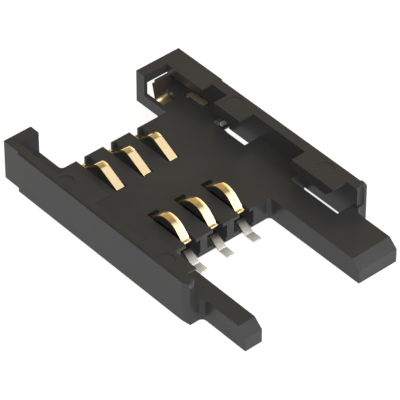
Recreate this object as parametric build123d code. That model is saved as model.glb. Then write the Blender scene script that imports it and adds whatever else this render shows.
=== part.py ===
from build123d import *
import math
import os

# Holder for a small chip card: a moulded housing, six stamped springs in two rows,
# and a two-piece switch that senses the card. Millimetres, +Z up, +Y to the stop end,
# origin under the middle of the housing.

# The card that the holder takes
card_w = 15.0
card_t = 0.76
columns = 3
pad_pitch = 2.54
first_pad = 3.64
back_row_from_end = 5.0
front_row_from_end = 12.62

# Running clearances of the card
side_clear = 0.085
lip_clear = 0.14

# Housing, overall
body_l = 25.46
floor_t = 1.88
lip_t = 0.91
near_wall = 0.80
far_wall = 0.95
stop_t = 0.92
skin_step = 0.12
front_taper_l = 0.80
far_step = 0.10
far_step_from_stop = (19.43, 4.11)
edge_r = 0.05

# Housing, front end
rail_from_stop = 19.99
near_arm_w = 1.54
near_arm_in = 0.47
far_arm_w = 3.65
far_arm_in = 0.28
tip_run = 0.77
tip_drop = 0.69
floor_before_front_row = 2.34
near_root_r = 0.40
far_root_r = 0.80
bay_r = 0.35
near_mouth = (0.36, -0.08, 0.0)
far_mouth = (0.46, 0.34, 0.30)
near_edge_r = 0.18
near_nose = (0.50, 0.32)
far_nose = (0.30, 0.18)
crease_r = 0.10

# Housing, back end
floor_past_back_row = 2.43
near_stop_w = 2.65
far_bracket_w = 4.18
bracket_post = 0.31
bracket_lift = 0.80
bracket_lift_l = 2.45
near_lift = 0.18
near_lift_l = 1.73
back_r = 0.3
back_edge_r = 0.10

# Lips: front end's distance from the stop, length, and reach over the card channel
near_lips = ((8.76, 4.15, 1.30), (18.81, 4.40, 0.90))
far_lips = ((8.66, 2.91, 1.35), (18.86, 4.45, 1.37))
roof_reach = 1.00
roof_l = 4.01
lip_lead = 0.75
lip_face = 0.17
roof_t = 0.76

# Windows in the floor below the far lips: front end's distance from the stop, and length
far_windows = ((9.34, 3.59), (19.49, 5.08))
window_side = 0.06

# Moulding marks on the rail tops
pin_mark_r = 0.72
pin_mark_deep = 0.04
mark_in = 0.20
near_marks = (5.61, 16.76)
far_marks = (6.76, 16.71)

# Undercuts below the far rail: front end's distance from the stop, length, height
rail_lifts = ((9.71, 4.37, 0.60), (19.71, 5.68, 0.28))

# Spring stock
strip_w = 0.72
strip_t = 0.15
base_w = 1.84
base_shift = -0.07
fit = 0.02
tail_bend_r = 0.22
groove_top = 1.58

# Front springs
front_apex = 0.89
front_tip_z = 1.64
front_tip_l = 0.24
front_base_z = 0.70
front_base_l = 2.80
front_rise = 37.8
front_fall = 43.5
front_bend_r = 0.33
front_foot_y = 1.47
front_slope_in = 0.53
front_slope_l = 1.06
front_slot_w = 0.95
front_slot_l = 4.35
front_slot_slant = 0.42
front_groove_l = 5.60
front_crown_r = 1.56
front_step_l = 1.25
front_step_z = 0.40
tail_slot_left = 0.524
tail_slot_right = 0.757

# Back springs
back_apex = 0.93
back_tip_y = 2.07
back_base_z = 0.95
back_rise = 42.2
back_fall = 27.0
back_kick = 64.0
back_kick_r = 0.50
back_crown_r = 0.71
back_slot_w = 1.046
back_slot_l = 4.64
back_ledge = 1.24
back_corner_in = 0.52
back_base_l = 0.34
back_out = 0.13
back_slope_l = 0.55
back_foot_y = 1.39
back_nib_w = 0.25
back_nib_l = 0.24
back_nib_gap = 0.05

# Switch
switch_hole_l = 2.75
switch_pocket_l = 0.80
switch_base_z = 0.70
blade_w = 1.96
blade_gap = 0.25
blade_top = 2.88
blade_top_from_stop = 0.31
blade_lean = 14.0
blade_arm_z = 1.30
blade_bend_r = 0.24
blade_foot_l = 0.70
blade_foot_in = 0.18
blade_foot_side = 0.20
blade_slope_l = 0.45
heel_r = 0.35
arm_w = 1.10
hole_side = 0.10
paddle_lift = 0.10
switch_pocket_h = 0.80
leaf_w = 0.50
leaf_gap = 0.05
leaf_tip_z = 1.70
leaf_heel_z = 1.56
leaf_tip_from_stop = 3.71
leaf_well_from_stop = 1.55
leaf_joint_from_stop = 3.00
leaf_foot_from_stop = 5.10
leaf_foot_l = 0.15
leaf_slope_l = 0.95
leaf_foot_gap = 0.09
leaf_foot_w = 0.68
leaf_pocket_from_stop = 6.00
leaf_pocket_in = 0.80
leaf_pocket_z = (0.17, 1.45)

# Worked out from the sizes above
body_w = near_wall + card_w + 2 * side_clear + far_wall
near_x = -body_w / 2
far_x = body_w / 2
front_y = -body_l / 2
back_y = body_l / 2
channel_near = near_x + near_wall
channel_far = far_x - far_wall
stop_y = back_y - stop_t
rail_front = stop_y - rail_from_stop
lip_z = floor_t + card_t + lip_clear
rail_h = lip_z + lip_t
back_row = stop_y - back_row_from_end
front_row = stop_y - front_row_from_end
floor_front = front_row - floor_before_front_row
floor_back = back_row + floor_past_back_row
near_arm_x = channel_near + near_arm_in
far_arm_x = channel_far - far_arm_in
stop_x = near_x + near_stop_w
bracket_x = far_x - far_bracket_w
roof_x = channel_far - roof_reach
column_x = [channel_near + side_clear + first_pad + pad_pitch * i for i in range(columns)]


def block(x0, x1, y0, y1, z0, z1):
    """Box between two corners."""
    solid = Box(x1 - x0, y1 - y0, z1 - z0)
    return Pos((x0 + x1) / 2, (y0 + y1) / 2, (z0 + z1) / 2) * solid


def side_profile(points, x0, x1):
    """Closed outline in Y and Z, drawn out from x0 to x1."""
    face = make_face(Polyline(*points, close=True))
    return extrude(Plane.YZ.offset(x0) * face, amount=x1 - x0, dir=(1, 0, 0))


def upright_edge(solid, x, y, z):
    """The vertical edge of a solid nearest to a point."""
    return solid.edges().filter_by(Axis.Z).sort_by_distance((x, y, z))[0]


def strip(path, radii, x_mid, width):
    """Bent strip: a line of (y, z) points along its middle, one radius for each corner."""
    sides = []
    for side in (1, -1):
        points = []
        bends = []
        for i, (y, z) in enumerate(path):
            before = Vector(path[max(i, 1)]) - Vector(path[max(i, 1) - 1])
            after = Vector(path[min(i + 1, len(path) - 1)]) - Vector(path[min(i, len(path) - 2)])
            before = before.normalized()
            after = after.normalized()
            mitre = (before + after).normalized()
            reach = side * strip_t / 2 / mitre.dot(before)
            points.append((y - mitre.Y * reach, z + mitre.X * reach))
            turn = before.X * after.Y - before.Y * after.X
            if 0 < i < len(path) - 1:
                inner = 1 if turn * side > 0 else -1
                bends.append(radii[i - 1] - inner * strip_t / 2)
        sides.append((points, bends))
    (left, left_bends), (right, right_bends) = sides
    left_line = FilletPolyline(*left, radius=left_bends)
    right_line = FilletPolyline(*right, radius=right_bends)
    ends = [Line(left[0], right[0]), Line(left[-1], right[-1])]
    outline = Wire(left_line.edges() + right_line.edges() + [e.edge() for e in ends])
    face = Plane.YZ.offset(x_mid - width / 2) * Face(outline)
    return extrude(face, amount=width, dir=(1, 0, 0))


def crown(y, z, rise, fall, radius):
    """Corner above a rounded contact crown whose top is at (y, z); rise is on the +Y side."""
    reach = radius / math.cos(math.radians(rise + fall) / 2)
    tilt = math.radians(rise - fall) / 2
    return (y + reach * math.sin(tilt), z - radius + reach * math.cos(tilt))


def down(point, angle, z, way):
    """Where a line that falls at an angle from a point, towards +Y or -Y, reaches a height."""
    return (point[0] + way * (point[1] - z) / math.tan(math.radians(angle)), z)


def front_contact(x):
    """Strip folded back over its base: tip, crown, fold, base, tail and solder foot."""
    middle = strip_t / 2
    base_z = front_base_z + middle
    top = crown(front_row, floor_t + front_apex - middle, front_rise, front_fall, front_crown_r)
    tip = down(top, front_fall, front_tip_z, -1)
    fold = math.radians(180 - front_rise)
    side = 2.04 * front_bend_r * math.tan(fold / 4)
    upper = down(top, front_rise, base_z + side * math.sin(fold / 2), 1)
    lower = (upper[0] - side * math.cos(fold / 2), base_z)
    slope = floor_front + front_slope_in
    path = [
        (tip[0] - front_tip_l, front_tip_z), tip, top, upper, lower,
        (slope, base_z), (slope - front_slope_l, middle), (floor_front - front_foot_y, middle)]
    radii = [tail_bend_r, front_crown_r, front_bend_r, front_bend_r, tail_bend_r, tail_bend_r]
    base_end = lower[0] - front_bend_r
    base_x = x + base_shift
    base = block(base_x - base_w / 2, base_x + base_w / 2, base_end - front_base_l, base_end,
                 front_base_z, front_base_z + strip_t)
    return strip(path, radii, x, strip_w) + base


def back_contact(x):
    """Strip that rises from its base to the crown and ends free; its tail drops at the back."""
    middle = strip_t / 2
    base_z = back_base_z + middle
    top = crown(back_row, floor_t + back_apex - middle, back_rise, back_fall, back_crown_r)
    tip_y = back_row - back_tip_y
    tip_z = top[1] - (top[0] - tip_y) * math.tan(math.radians(back_fall))
    root_y = floor_back - back_corner_in
    steep = math.tan(math.radians(back_kick))
    rise = math.tan(math.radians(back_rise))
    kick_y = (steep * root_y + base_z - top[1] - rise * top[0]) / (steep - rise)
    kick_z = top[1] - (kick_y - top[0]) * rise
    drop = floor_back + back_out
    path = [
        (tip_y, tip_z), top, (kick_y, kick_z), (root_y, base_z),
        (drop, base_z), (drop + back_slope_l, middle), (floor_back + back_foot_y, middle)]
    radii = [back_crown_r, back_kick_r, tail_bend_r, tail_bend_r, tail_bend_r]
    base = block(x + base_shift - base_w / 2, x + base_shift + base_w / 2,
                 root_y, root_y + back_base_l, back_base_z, back_base_z + strip_t)
    return strip(path, radii, x, strip_w) + base


def switch_blade():
    """Paddle that the card pushes, on a folded arm, with its tail to the back."""
    middle = strip_t / 2
    base_z = switch_base_z + middle
    x0 = bracket_x + bracket_post + blade_gap
    hole_y = back_y - switch_hole_l
    top = (stop_y - blade_top_from_stop, blade_top)
    heel = down(top, 90 - blade_lean, blade_arm_z, -1)
    fold_y = hole_y - switch_pocket_l + fit + middle
    path = [
        top, heel, (fold_y, base_z + 2.04 * blade_bend_r), (fold_y, base_z),
        (back_y - blade_foot_l - blade_slope_l - blade_foot_in, base_z),
        (back_y - blade_foot_l - blade_foot_in, middle), (back_y - blade_foot_in, middle)]
    radii = [heel_r, blade_bend_r, blade_bend_r, tail_bend_r, tail_bend_r]
    blade = strip(path, radii, x0 + blade_w / 2, blade_w)
    blade -= block(x0 + arm_w, x0 + 2 * blade_w, hole_y - switch_pocket_l, back_y,
                   0, floor_t + paddle_lift)
    slope_y = path[4][0]
    return blade - block(x0, x0 + blade_foot_side, slope_y, back_y, 0, base_z + strip_t)


def switch_leaf():
    """Leaf folded back over its base, which runs into the rail and ends in a foot there."""
    middle = strip_t / 2
    base_z = switch_base_z + middle
    x0 = channel_far - leaf_gap - leaf_w
    x1 = channel_far + leaf_foot_gap + leaf_foot_w
    fold_y = stop_y - leaf_well_from_stop - fit - middle
    foot_y = stop_y - leaf_foot_from_stop
    slope_y = foot_y + leaf_foot_l + leaf_slope_l
    path = [
        (stop_y - leaf_tip_from_stop, leaf_tip_z), (fold_y, leaf_heel_z), (fold_y, base_z),
        (slope_y, base_z), (foot_y + leaf_foot_l, middle), (foot_y, middle)]
    radii = [blade_bend_r, blade_bend_r, tail_bend_r, tail_bend_r]
    leaf = strip(path, radii, (x0 + x1) / 2, x1 - x0)
    base_top = switch_base_z + strip_t
    leaf -= block(x0 + leaf_w, x1, foot_y, back_y, base_top, rail_h)
    leaf -= block(x0 + leaf_w, x1, stop_y - leaf_joint_from_stop, back_y, 0, rail_h)
    return leaf - block(x0, channel_far + leaf_foot_gap, foot_y, stop_y - roof_l + fit, 0, rail_h)


def floor_and_arms():
    """Floor with its two arms and the two ends of the back, as one plan outline."""
    near_in = near_arm_x + near_arm_w
    far_in = far_arm_x - far_arm_w
    plan = [
        (near_x, back_y), (near_x, rail_front), (near_arm_x, rail_front), (near_arm_x, front_y),
        (near_in, front_y), (near_in, floor_front), (far_in, floor_front), (far_in, front_y),
        (far_arm_x, front_y), (far_arm_x, rail_front), (far_x, rail_front), (far_x, back_y),
        (bracket_x, back_y), (bracket_x, floor_back), (stop_x, floor_back), (stop_x, back_y)]
    body = extrude(make_face(Polyline(*plan, close=True)), amount=floor_t, dir=(0, 0, 1))
    mid_z = floor_t / 2
    for x, radius in ((near_arm_x, near_root_r), (far_arm_x, far_root_r)):
        body = fillet(upright_edge(body, x, rail_front, mid_z), radius)
    bay = [upright_edge(body, x, floor_front, mid_z) for x in (near_in, far_in)]
    body = fillet(bay, bay_r)
    back = [upright_edge(body, x, floor_back, mid_z) for x in (stop_x, bracket_x)]
    body = fillet(back, back_r)
    top = body.faces().sort_by(Axis.Z)[-1]
    behind = [e for e in top.edges() if e.center().Y > floor_back - edge_r and e.length < bracket_x - near_x]
    ends = [e for e in behind if e.center().X > stop_x - edge_r and e.center().X < bracket_x + edge_r]
    body = fillet([e for e in ends if e.center().Y < back_y - edge_r], back_edge_r)
    lead = [(front_y, floor_t - tip_drop), (front_y + tip_run, floor_t), (front_y, floor_t)]
    body -= side_profile(lead, near_x, far_x)
    for x in (near_arm_x + near_arm_w / 2, far_arm_x - far_arm_w / 2):
        for point in ((x, front_y + tip_run, floor_t), (x, front_y, floor_t - tip_drop)):
            body = fillet(body.edges().filter_by(Axis.X).sort_by_distance(point)[0], crease_r)
    return body


def lip(root_x, from_stop, length, reach, under):
    """Lip over the card, with a lead-in under its front edge."""
    x0, x1 = sorted((root_x, root_x + reach))
    y = stop_y - from_stop
    lead = [(y, under), (y + lip_lead, under), (y, rail_h - lip_face)]
    return block(x0, x1, y, y + length, under, rail_h) - side_profile(lead, x0, x1)


def nose(x0, x1, run, drop):
    """Cutter that rounds the front top edge of a rail."""
    y, z = rail_front, rail_h
    radius = (run ** 2 + drop ** 2) / (2 * drop)
    half = math.asin(run / radius) / 2
    mid = (y + run - radius * math.sin(half), z - radius * (1 - math.cos(half)))
    arc = ThreePointArc((y, z - drop), mid, (y + run, z))
    sides = Polyline((y + run, z), (y, z), (y, z - drop))
    face = Plane.YZ.offset(x0) * Face(Wire([arc.edge()] + list(sides.edges())))
    return extrude(face, amount=x1 - x0, dir=(1, 0, 0))


def rails():
    """Both rails with their lips, the roof over the switch, the stop flange and the bracket."""
    body = block(near_x, channel_near, rail_front, back_y, 0, rail_h)
    body = fillet(body.edges().filter_by(Axis.Y).sort_by_distance((near_x, 0, rail_h))[0], near_edge_r)
    body += block(channel_far, far_x, rail_front, back_y, 0, rail_h)
    for from_stop, length, reach in near_lips:
        body += lip(channel_near, from_stop, length, reach, lip_z)
    for from_stop, length, reach in far_lips:
        body += lip(channel_far, from_stop, length, -reach, lip_z)
    body += lip(channel_far, roof_l, roof_l, -roof_reach, rail_h - roof_t)
    body += block(channel_near, stop_x, stop_y, back_y, 0, rail_h)
    body += block(bracket_x, far_x, stop_y, back_y, rail_h - roof_t, rail_h)
    body += block(bracket_x, bracket_x + bracket_post, stop_y, back_y, 0, rail_h)
    body -= nose(near_x, channel_near, *near_nose)
    body -= nose(channel_far, far_x, *far_nose)
    for wall, way, (radius, side, forward) in ((channel_near, -1, near_mouth), (channel_far, 1, far_mouth)):
        mouth = Cylinder(radius, rail_h - floor_t, align=(Align.CENTER, Align.CENTER, Align.MIN))
        body -= Pos(wall + way * side, rail_front - forward, floor_t) * mouth
    return body


def front_pocket(x):
    """Slot, groove and tail way for one front spring."""
    mid = x + base_shift
    half = base_w / 2 + fit
    y = floor_front
    seat_top = front_base_z + strip_t + fit
    slot = [(y, front_base_z), (y, floor_t), (y + front_slot_l, floor_t),
            (y + front_slot_l + front_slot_slant, groove_top),
            (y + front_groove_l, groove_top), (y + front_groove_l, front_base_z)]
    cut = side_profile(slot, x - front_slot_w / 2, x + front_slot_w / 2)
    cut += block(mid - half, mid + half, y, y + front_groove_l, front_base_z, seat_top)
    cut += block(mid - half, mid + half, y, y + front_step_l, front_step_z, groove_top)
    return cut + block(x - tail_slot_left, x + tail_slot_right, y, y + front_step_l, 0, groove_top)


def back_pocket(x):
    """Slot and groove for one back spring, with the nib that closes one side."""
    mid = x + base_shift
    half = base_w / 2 + fit
    slot_half = back_slot_w / 2
    y = floor_back
    cut = block(x - slot_half, x + slot_half, y - back_slot_l, y - back_ledge, 0, floor_t)
    cut += block(x - slot_half, x + slot_half, y - back_ledge, y, back_base_z, floor_t)
    seat_top = back_base_z + strip_t + fit
    return cut + block(mid - half, mid + half, y - back_ledge, y, back_base_z, seat_top)


def nib(x0, x1):
    """Nib beside a back slot, rounded over its back and its free side."""
    z0 = back_base_z + strip_t + back_nib_gap
    solid = block(x0, x1, floor_back - back_nib_l, floor_back, z0, floor_t)
    top = solid.faces().sort_by(Axis.Z)[-1].edges()
    rims = [top.sort_by(Axis.Y)[-1], top.sort_by(Axis.X)[0]]
    return fillet(rims, back_edge_r)


def housing():
    """The moulding: floor, rails and lips, then pockets, windows, undercuts and marks."""
    hole_y = back_y - switch_hole_l
    post_x = bracket_x + bracket_post
    body = floor_and_arms()
    pocket_x = post_x + blade_gap
    body -= block(post_x, pocket_x + arm_w + hole_side, hole_y, back_y, 0, floor_t)
    body += rails()
    for x in column_x:
        body -= front_pocket(x)
        body -= back_pocket(x)
        side = x + back_slot_w / 2
        body += nib(side - back_nib_w, side)
    for (from_stop, length), (_, _, reach) in zip(far_windows, far_lips):
        y = stop_y - from_stop
        body -= block(channel_far - reach - window_side, channel_far, y, y + length, 0, floor_t)
    for from_stop, length, reach in near_lips:
        y = stop_y - from_stop
        body -= block(channel_near, channel_near + reach, y, y + length, 0, floor_t)
    body -= block(roof_x, channel_far, stop_y - roof_l, stop_y - leaf_well_from_stop, 0, floor_t)
    for from_stop, length, height in rail_lifts:
        y = stop_y - from_stop
        body -= block(channel_far, far_x, y, y + length, 0, height)
    body -= block(bracket_x, post_x, back_y - bracket_lift_l, back_y, 0, bracket_lift)
    body -= block(near_x, stop_x, back_y - near_lift_l, back_y, 0, near_lift)
    body -= block(pocket_x - fit, pocket_x + arm_w + fit, hole_y - switch_pocket_l, hole_y,
                  switch_base_z, switch_base_z + switch_pocket_h)
    low, high = leaf_pocket_z
    well_y = stop_y - roof_l
    outer = channel_far + leaf_foot_gap + leaf_foot_w + fit
    body -= block(channel_far - leaf_pocket_in, outer, stop_y - leaf_pocket_from_stop, well_y, low, high)
    body -= block(channel_far + leaf_foot_gap - fit, outer, stop_y - leaf_foot_from_stop - fit, well_y,
                  0, low)
    body -= block(channel_far, outer, well_y, stop_y - leaf_joint_from_stop + fit,
                  0, switch_base_z + strip_t + fit)
    body -= block(near_x, near_x + skin_step, back_y - near_lift_l, back_y, 0, rail_h)
    taper = [(near_x, rail_front + front_taper_l), (near_x, rail_front), (near_x + skin_step, rail_front)]
    body -= extrude(make_face(Polyline(*taper, close=True)), amount=rail_h, dir=(0, 0, 1))
    y0, y1 = [stop_y - from_stop for from_stop in far_step_from_stop]
    body -= block(far_x - far_step, far_x, y0, y1, 0, rail_h)
    for x, marks in ((channel_near - mark_in, near_marks), (channel_far - mark_in, far_marks)):
        for from_stop in marks:
            body -= Pos(x, stop_y - from_stop, rail_h) * Cylinder(pin_mark_r, 2 * pin_mark_deep)
    return body


def save(name, solid):
    """One file for one piece."""
    export_step(solid, os.path.join("parts", name + ".step"))


os.makedirs("parts", exist_ok=True)
save("housing", housing())
for number, x in enumerate(column_x, start=1):
    save(f"contact_back_{number}", back_contact(x))
    save(f"contact_front_{number}", front_contact(x))
save("switch_blade", switch_blade())
save("switch_leaf", switch_leaf())
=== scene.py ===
import math

import bpy
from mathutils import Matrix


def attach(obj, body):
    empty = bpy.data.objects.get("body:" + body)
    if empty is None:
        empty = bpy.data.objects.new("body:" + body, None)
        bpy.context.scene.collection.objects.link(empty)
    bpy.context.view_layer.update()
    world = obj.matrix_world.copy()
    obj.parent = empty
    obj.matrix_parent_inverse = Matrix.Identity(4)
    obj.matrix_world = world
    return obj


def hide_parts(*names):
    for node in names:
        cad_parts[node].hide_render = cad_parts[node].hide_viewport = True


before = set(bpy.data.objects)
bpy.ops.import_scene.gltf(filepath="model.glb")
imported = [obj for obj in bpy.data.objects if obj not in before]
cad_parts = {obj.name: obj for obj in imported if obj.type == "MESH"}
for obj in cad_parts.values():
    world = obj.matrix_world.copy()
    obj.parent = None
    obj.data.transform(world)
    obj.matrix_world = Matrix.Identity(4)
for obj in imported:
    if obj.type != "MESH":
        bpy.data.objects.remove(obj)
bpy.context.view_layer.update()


# The camera stands at the front left corner, about 40 degrees up, and far away,
# so that the sides of the small part hardly draw together.
camera_place = (-0.12174, -0.14069, 0.16179)
camera_tilt = 49.2683
camera_turn = -40.7815
camera_data = bpy.data.cameras.new("camera")
camera_data.sensor_width = 36.0
camera_data.lens = 304.56
camera_data.clip_start = 0.01
camera_data.clip_end = 10.0
camera = bpy.data.objects.new("camera", camera_data)
bpy.context.scene.collection.objects.link(camera)
camera.location = camera_place
camera.rotation_euler = (math.radians(camera_tilt), 0.0, math.radians(camera_turn))
bpy.context.scene.camera = camera
bpy.context.scene.view_settings.view_transform = "Standard"


# The table is a white sheet with light behind it, as small parts are pictured on. It
# glows most in front of the part, which lightens the faces that look that way. Under the
# part's floor it does not glow: a painted shadow that keeps the light off there.
sheet_side = 1.6
sheet_drop = 0.00002
sheet_tone = (0.20, 0.20, 0.20, 1)
sheet_roughness = 0.9
sheet_white = (1.0, 1.0, 1.0, 1)
front_glow_from = -0.0125
front_glow_full = -0.0135
back_glow = 0.87
front_glow = 1.06
# Painted shadow: a box under the part's floor, by its middle and half sizes, where the sheet does
# not glow
shadow_middle_x = -0.0012
shadow_middle_y = 0.00295
shadow_half_x = 0.0066
shadow_half_y = 0.00615
shadow_edge = 0.985


def new_finish(name):
    """New material, with its node tree and its surface shader."""
    finish = bpy.data.materials.new(name)
    finish.use_nodes = True
    tree = finish.node_tree
    return finish, tree, tree.nodes["Principled BSDF"]


def feed(tree, value, socket):
    """Wire an output to a socket, or set the socket to a fixed number or colour."""
    if isinstance(value, bpy.types.NodeSocket):
        tree.links.new(value, socket)
    else:
        socket.default_value = value


def object_place(tree):
    """Place on the object, in metres."""
    return tree.nodes.new("ShaderNodeTexCoord").outputs["Object"]


def axes_of(tree, place):
    """A place taken apart into X, Y and Z."""
    apart = tree.nodes.new("ShaderNodeSeparateXYZ")
    tree.links.new(place, apart.inputs["Vector"])
    return apart.outputs


def worked(tree, operation, *values):
    """Result of one step of arithmetic on numbers or outputs."""
    step = tree.nodes.new("ShaderNodeMath")
    step.operation = operation
    for value, socket in zip(values, step.inputs):
        feed(tree, value, socket)
    return step.outputs["Value"]


def ramp(tree, value, start, end, low=0.0, high=1.0):
    """Number that runs from low to high while a value runs from start to end."""
    step = tree.nodes.new("ShaderNodeMapRange")
    tree.links.new(value, step.inputs["Value"])
    step.inputs["From Min"].default_value = start
    step.inputs["From Max"].default_value = end
    step.inputs["To Min"].default_value = low
    step.inputs["To Max"].default_value = high
    return step.outputs["Result"]


def off_middle(tree, along, middle, half):
    """Distance from a middle line, where 1 is the half width."""
    offset = worked(tree, "SUBTRACT", along, middle)
    return worked(tree, "ABSOLUTE", worked(tree, "DIVIDE", offset, half))


bpy.ops.object.select_all(action="DESELECT")
bpy.ops.mesh.primitive_plane_add(size=sheet_side, location=(0, 0, -sheet_drop))
table = bpy.context.object
table.name = "table"
bpy.ops.object.transform_apply(location=True, rotation=True, scale=True)
sheet, tree, paper = new_finish("white_sheet")
paper.inputs["Base Color"].default_value = sheet_tone
paper.inputs["Roughness"].default_value = sheet_roughness
paper.inputs["Emission Color"].default_value = sheet_white
spot = axes_of(tree, object_place(tree))
glow = ramp(tree, spot["Y"], front_glow_from, front_glow_full, back_glow, front_glow)
# Painted shadow: the glow is cut off inside the box under the part
off_x = off_middle(tree, spot["X"], shadow_middle_x, shadow_half_x)
off_y = off_middle(tree, spot["Y"], shadow_middle_y, shadow_half_y)
outside_shadow = ramp(tree, worked(tree, "MAXIMUM", off_x, off_y), shadow_edge, 1.0)
feed(tree, worked(tree, "MULTIPLY", glow, outside_shadow), paper.inputs["Emission Strength"])
table.data.materials.append(sheet)


# The light is a pale tent: one wide soft white panel over the front, which brightens
# towards its foot, a dim warm wall behind with an amber band across it, and a bright
# panel at the right. Close above the table the front is dim.

# Where a change starts and ends along one axis of the look direction, and then the
# strength, or the share of what changes, before and after it
wall_y = (0.25, 0.60, 0.34, 0.52)
wall_top_y = (0.62, 0.72, 0.0, -0.06)
panel_y = (-0.08, -0.60, 0.80, 1.75)
panel_foot_y = (-0.68, -0.80, 0.0, 6.6)
panel_edge_y = (-0.02, -0.08, 0.0, 1.0)
table_edge_z = (0.45, 0.15, 0.0, 1.0)
low_wall_y = (0.0, 0.5, 0.10, 0.60)
right_panel_x = (0.58, 0.72, 0.0, 1.6)
amber_y = (0.28, 0.44, 0.0, 1.0)
warm_white = (1.0, 0.90, 0.73, 1)
amber_light = (1.0, 0.79, 0.44, 1)
panel_white = (1.0, 0.99, 0.97, 1)


def blend(tree, amount, below, above, kind="Color"):
    """Mix of two colours, or of two numbers: the one below at amount 0, the one above at 1."""
    mix = tree.nodes.new("ShaderNodeMix")
    mix.data_type = "RGBA" if kind == "Color" else "FLOAT"
    inputs = {socket.identifier: socket for socket in mix.inputs}
    outputs = {socket.identifier: socket for socket in mix.outputs}
    feed(tree, amount, inputs["Factor_Float"])
    feed(tree, below, inputs["A_" + kind])
    feed(tree, above, inputs["B_" + kind])
    return outputs["Result_" + kind]


world = bpy.data.worlds.new("tent")
bpy.context.scene.world = world
world.use_nodes = True
tent = world.node_tree
sky = tent.nodes["Background"]
look = axes_of(tent, tent.nodes.new("ShaderNodeTexCoord").outputs["Generated"])
wall = worked(tent, "ADD", ramp(tent, look["Y"], *wall_y), ramp(tent, look["Y"], *wall_top_y))
panel = worked(tent, "ADD", ramp(tent, look["Y"], *panel_y), ramp(tent, look["Y"], *panel_foot_y))
on_panel = ramp(tent, look["Y"], *panel_edge_y)
near_table = ramp(tent, look["Z"], *table_edge_z)
upper = blend(tent, on_panel, wall, panel, "Float")
around = blend(tent, near_table, upper, ramp(tent, look["Y"], *low_wall_y), "Float")
right_panel = ramp(tent, look["X"], *right_panel_x)
feed(tent, worked(tent, "ADD", around, right_panel), sky.inputs["Strength"])
amber = worked(tent, "SUBTRACT", ramp(tent, look["Y"], *amber_y), near_table)
wall_tint = blend(tent, amber, warm_white, amber_light)
feed(tent, blend(tent, on_panel, wall_tint, panel_white), sky.inputs["Color"])


# The housing is one moulding in black heat-proof plastic, with a fine matt skin that
# the spark-cut mould leaves. Its trace of glow stands for the light that scatters in
# the lens and lifts the deepest slots off black.
edge_round = 0.00004
weld_gap = 0.0000005
flat_angle = math.radians(1.0)
edge_angle = math.radians(35)
smooth_angle = math.radians(32)
level_normal = 0.9999
plastic_index = 1.30
lens_glow_tone = (1.0, 0.98, 0.95, 1)
lens_glow = 0.010
cloud_scale = 420.0
cloud_detail = 3.0
darker_at = 0.32
darker_black = (0.0155, 0.0163, 0.0176, 1)
lighter_at = 0.70
lighter_black = (0.0200, 0.0209, 0.0222, 1)
grain_scale = 16000.0
grain_detail = 2.0
skin_roughness = (0.24, 0.36)
skin_strength = 0.20
skin_depth = 0.000004


def noise(tree, place, scale, detail):
    """Soft cloudy pattern, from 0 to 1."""
    cloud = tree.nodes.new("ShaderNodeTexNoise")
    cloud.inputs["Scale"].default_value = scale
    cloud.inputs["Detail"].default_value = detail
    tree.links.new(place, cloud.inputs["Vector"])
    return cloud.outputs["Fac"]


def two_tones(tree, pattern, first_at, first, second_at, second):
    """Colour that goes from a first to a second tone with a pattern."""
    tones = tree.nodes.new("ShaderNodeValToRGB")
    start, end = tones.color_ramp.elements
    start.position = first_at
    start.color = first
    end.position = second_at
    end.color = second
    tree.links.new(pattern, tones.inputs["Fac"])
    return tones.outputs["Color"]


def raised(tree, pattern, strength, depth):
    """Surface normal that follows a pattern as a fine relief."""
    relief = tree.nodes.new("ShaderNodeBump")
    relief.inputs["Strength"].default_value = strength
    relief.inputs["Distance"].default_value = depth
    tree.links.new(pattern, relief.inputs["Height"])
    return relief.outputs["Normal"]


def rounded_copy(node, name, width, material):
    """Copy of a solid with its loose triangles joined and its sharp edges rounded."""
    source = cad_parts[node]
    bpy.ops.object.select_all(action="DESELECT")
    source.select_set(True)
    bpy.context.view_layer.objects.active = source
    bpy.ops.object.duplicate()
    piece = bpy.context.object
    piece.name = name
    for key in list(piece.keys()):
        del piece[key]
    piece.data.materials.clear()
    piece.data.materials.append(material)
    bpy.ops.object.mode_set(mode="EDIT")
    bpy.ops.mesh.select_all(action="SELECT")
    bpy.ops.mesh.remove_doubles(threshold=weld_gap)
    bpy.ops.mesh.dissolve_limited(angle_limit=flat_angle)
    bpy.ops.object.mode_set(mode="OBJECT")
    bevel = piece.modifiers.new("rounding", "BEVEL")
    bevel.width = width
    bevel.segments = 2
    bevel.limit_method = "ANGLE"
    bevel.angle_limit = edge_angle
    bevel.use_clamp_overlap = True
    bpy.ops.object.modifier_apply(modifier="rounding")
    bpy.ops.object.shade_smooth_by_angle(angle=smooth_angle)
    even = piece.modifiers.new("even_faces", "WEIGHTED_NORMAL")
    even.weight = 100
    even.keep_sharp = True
    bpy.ops.object.modifier_apply(modifier="even_faces")
    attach(piece, "root")
    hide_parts(node)
    return piece


moulded_black, tree, plastic = new_finish("moulded_black")
plastic.inputs["IOR"].default_value = plastic_index
plastic.inputs["Emission Color"].default_value = lens_glow_tone
plastic.inputs["Emission Strength"].default_value = lens_glow
place = object_place(tree)
cloud = noise(tree, place, cloud_scale, cloud_detail)
black = two_tones(tree, cloud, darker_at, darker_black, lighter_at, lighter_black)
feed(tree, black, plastic.inputs["Base Color"])
grain = noise(tree, place, grain_scale, grain_detail)
feed(tree, ramp(tree, grain, 0.0, 1.0, *skin_roughness), plastic.inputs["Roughness"])
feed(tree, raised(tree, grain, skin_strength, skin_depth), plastic.inputs["Normal"])

housing = rounded_copy("housing", "housing_moulding", edge_round, moulded_black)

# A level face keeps its own normal at its corners, so that it shades flat and a narrow
# face beside it draws no streak of light on it.
corners = [corner.vector.copy() for corner in housing.data.corner_normals]
for face in housing.data.polygons:
    if face.normal.z > level_normal:
        for corner in face.loop_indices:
            corners[corner] = face.normal
housing.data.normals_split_custom_set(corners)
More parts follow.
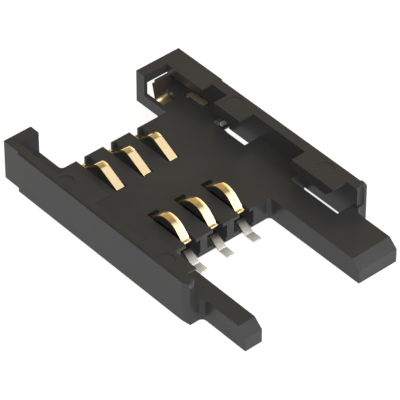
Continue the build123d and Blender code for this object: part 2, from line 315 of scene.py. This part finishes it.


# The springs are stamped from thin copper-alloy strip and bent. Their contact end is
# plated with gold over nickel, and the tail that is soldered to the board with matt
# tin, bright on the foot; its slope carries painted shade, darkening up towards the slot.
strip_round = 0.000018
gold_cloud_scale = 900.0
gold_cloud_detail = 2.0
deep_gold_at = 0.35
deep_gold = (0.94, 0.74, 0.44, 1)
pale_gold_at = 0.68
pale_gold = (0.98, 0.78, 0.48, 1)
gold_ends_z = 0.00092
tin_starts_z = 0.00088
foot_top_z = 0.00015
slope_starts_z = 0.00022
# Painted shade: the tin slope darkens from here up towards the slot
slot_shade_from_z = 0.00020
slot_shade_to_z = 0.00074
foot_tin = (0.72, 0.72, 0.72, 1)
# Painted shade: the slope is darker than the foot, and darkest by the slot
shaded_slope_tin = (0.45, 0.435, 0.40, 1)
slot_shade_tin = (0.055, 0.051, 0.042, 1)
brush_scale = 9000.0
brush_detail = 2.0
spring_roughness = (0.12, 0.18)
tin_more_roughness = 0.36
brush_strength = 0.10
brush_depth = 0.000002


def strip_finish(name, low_tin, high_tin, roughness):
    """Gold above a tinned tail, whose slope goes from a low to a high tone of tin; where they
    differ, the high one is painted shade.
    """
    finish, tree, metal = new_finish(name)
    metal.inputs["Metallic"].default_value = 1.0
    place = object_place(tree)
    height = axes_of(tree, place)["Z"]
    cloud = noise(tree, place, gold_cloud_scale, gold_cloud_detail)
    gold = two_tones(tree, cloud, deep_gold_at, deep_gold, pale_gold_at, pale_gold)
    # painted shade up the slope towards the slot
    slot_shade = ramp(tree, height, slot_shade_from_z, slot_shade_to_z)
    above_foot = ramp(tree, height, foot_top_z, slope_starts_z)
    tin = blend(tree, above_foot, foot_tin, blend(tree, slot_shade, low_tin, high_tin))
    tail = ramp(tree, height, gold_ends_z, tin_starts_z)
    feed(tree, blend(tree, tail, gold, tin), metal.inputs["Base Color"])
    brush = noise(tree, place, brush_scale, brush_detail)
    sheen = ramp(tree, brush, 0.0, 1.0, *roughness)
    rougher = worked(tree, "MULTIPLY_ADD", tail, tin_more_roughness, sheen)
    feed(tree, rougher, metal.inputs["Roughness"])
    feed(tree, raised(tree, brush, brush_strength, brush_depth), metal.inputs["Normal"])
    return finish


plated_strip = strip_finish("gold_plated_strip", shaded_slope_tin, slot_shade_tin, spring_roughness)
for row in ("front", "back"):
    for number in (1, 2, 3):
        node = f"contact_{row}_{number}"
        spring = rounded_copy(node, f"spring_{row}_{number}", strip_round, plated_strip)


# The switch is a paddle that the card pushes back against a leaf. Both are of the same
# strip as the springs; above the fold the metal is painted over dark brown, as painted shade and
# dark reflection, less dark on the leaf as painted light, so only the heel and the feet shine.
switch_tin = (0.80, 0.80, 0.80, 1)
switch_roughness = (0.26, 0.34)
# Painted shade: above the fold the metal gives way to a painted dark tone
painted_dark_starts_z = 0.00145
painted_dark_full_z = 0.00165
paddle_ends_y = 0.0112
leaf_starts_y = 0.0104
# Painted shade on the paddle; the leaf's lighter tone is painted light against the roof's shadow
paddle_painted_shade = (0.026, 0.020, 0.015, 1)
leaf_painted_tone = (0.150, 0.120, 0.092, 1)
painted_dark_strip = strip_finish("painted_dark_strip", switch_tin, switch_tin, switch_roughness)
tree = painted_dark_strip.node_tree
metal = tree.nodes["Principled BSDF"]
bright = metal.inputs["Base Color"].links[0].from_socket
spot = axes_of(tree, object_place(tree))
on_leaf = ramp(tree, spot["Y"], paddle_ends_y, leaf_starts_y)
painted_tone = blend(tree, on_leaf, paddle_painted_shade, leaf_painted_tone)
# painted shade: dark non-metal tone above the fold
painted_dark = ramp(tree, spot["Z"], painted_dark_starts_z, painted_dark_full_z)
unpainted_metal = worked(tree, "SUBTRACT", 1.0, painted_dark)
feed(tree, blend(tree, painted_dark, bright, painted_tone), metal.inputs["Base Color"])
feed(tree, unpainted_metal, metal.inputs["Metallic"])
for node, name in (("switch_blade", "switch_paddle"), ("switch_leaf", "switch_spring")):
    spring = rounded_copy(node, name, strip_round, painted_dark_strip)
